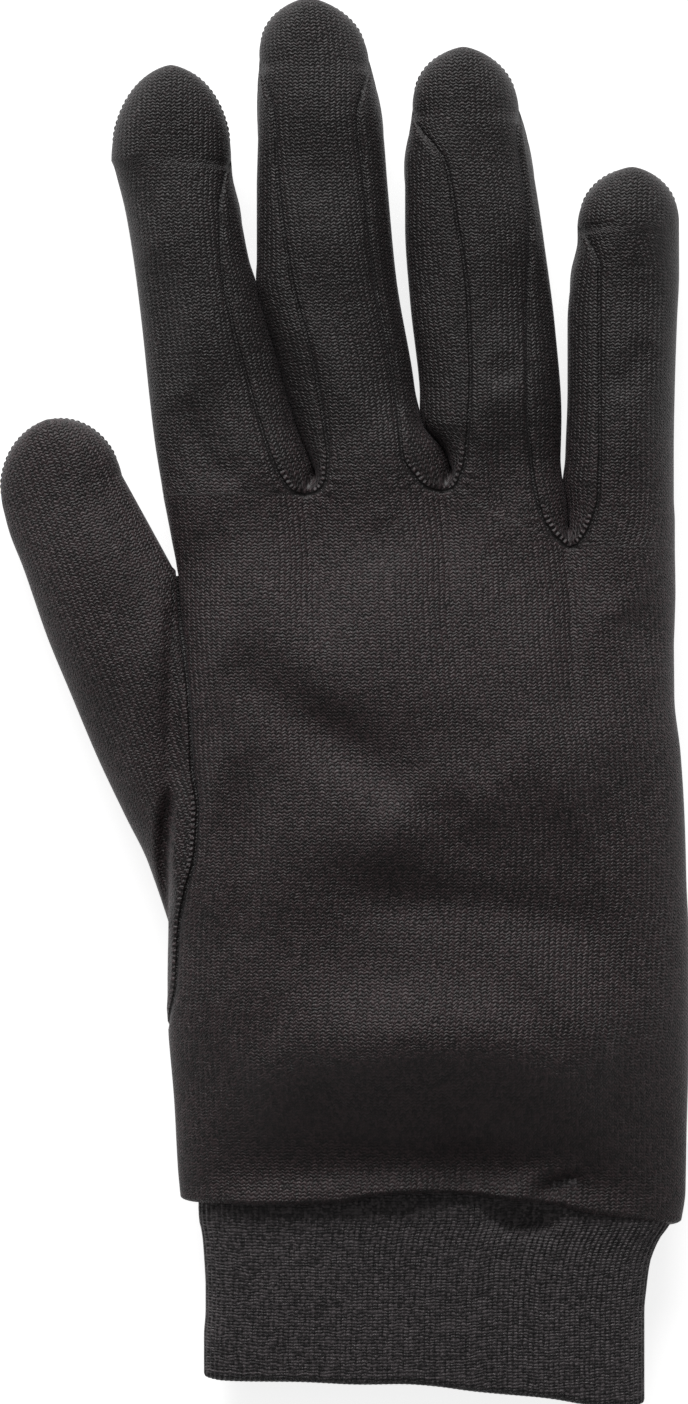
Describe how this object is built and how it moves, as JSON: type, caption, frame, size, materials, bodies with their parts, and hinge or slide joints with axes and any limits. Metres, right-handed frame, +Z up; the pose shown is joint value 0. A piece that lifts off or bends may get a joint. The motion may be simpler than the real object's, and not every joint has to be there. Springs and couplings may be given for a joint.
{
  "type": "glove liner",
  "caption": "Thin knitted right-hand glove liner lying palm down, with fourchettes, a set-in thumb and a rib-knit cuff",
  "frame": {"origin": "Middle of the glove outline on the surface that it lies on, under the palm.", "axes": "+Y runs from the cuff to the fingertips, +Z is up from the palm to the back, and the thumb lies towards -X."},
  "size_m": [0.125, 0.2552, 0.0208],
  "materials": {
    "back_knit": "black fine-gauge knit, slightly satin",
    "palm_knit": "black fine-gauge knit, slightly satin",
    "fourchette_knit": "black fine-gauge knit, slightly satin",
    "thumb_knit": "black fine-gauge knit, slightly satin",
    "rib_knit": "black fine rib knit, matt"
  },
  "bodies": {
    "root": {"back_panel": "back_knit", "palm_panel": "palm_knit", "fourchette_index_middle": "fourchette_knit", "fourchette_middle_ring": "fourchette_knit", "fourchette_ring_little": "fourchette_knit", "thumb": "thumb_knit", "rib_cuff": "rib_knit"}
  },
  "joints": []
}
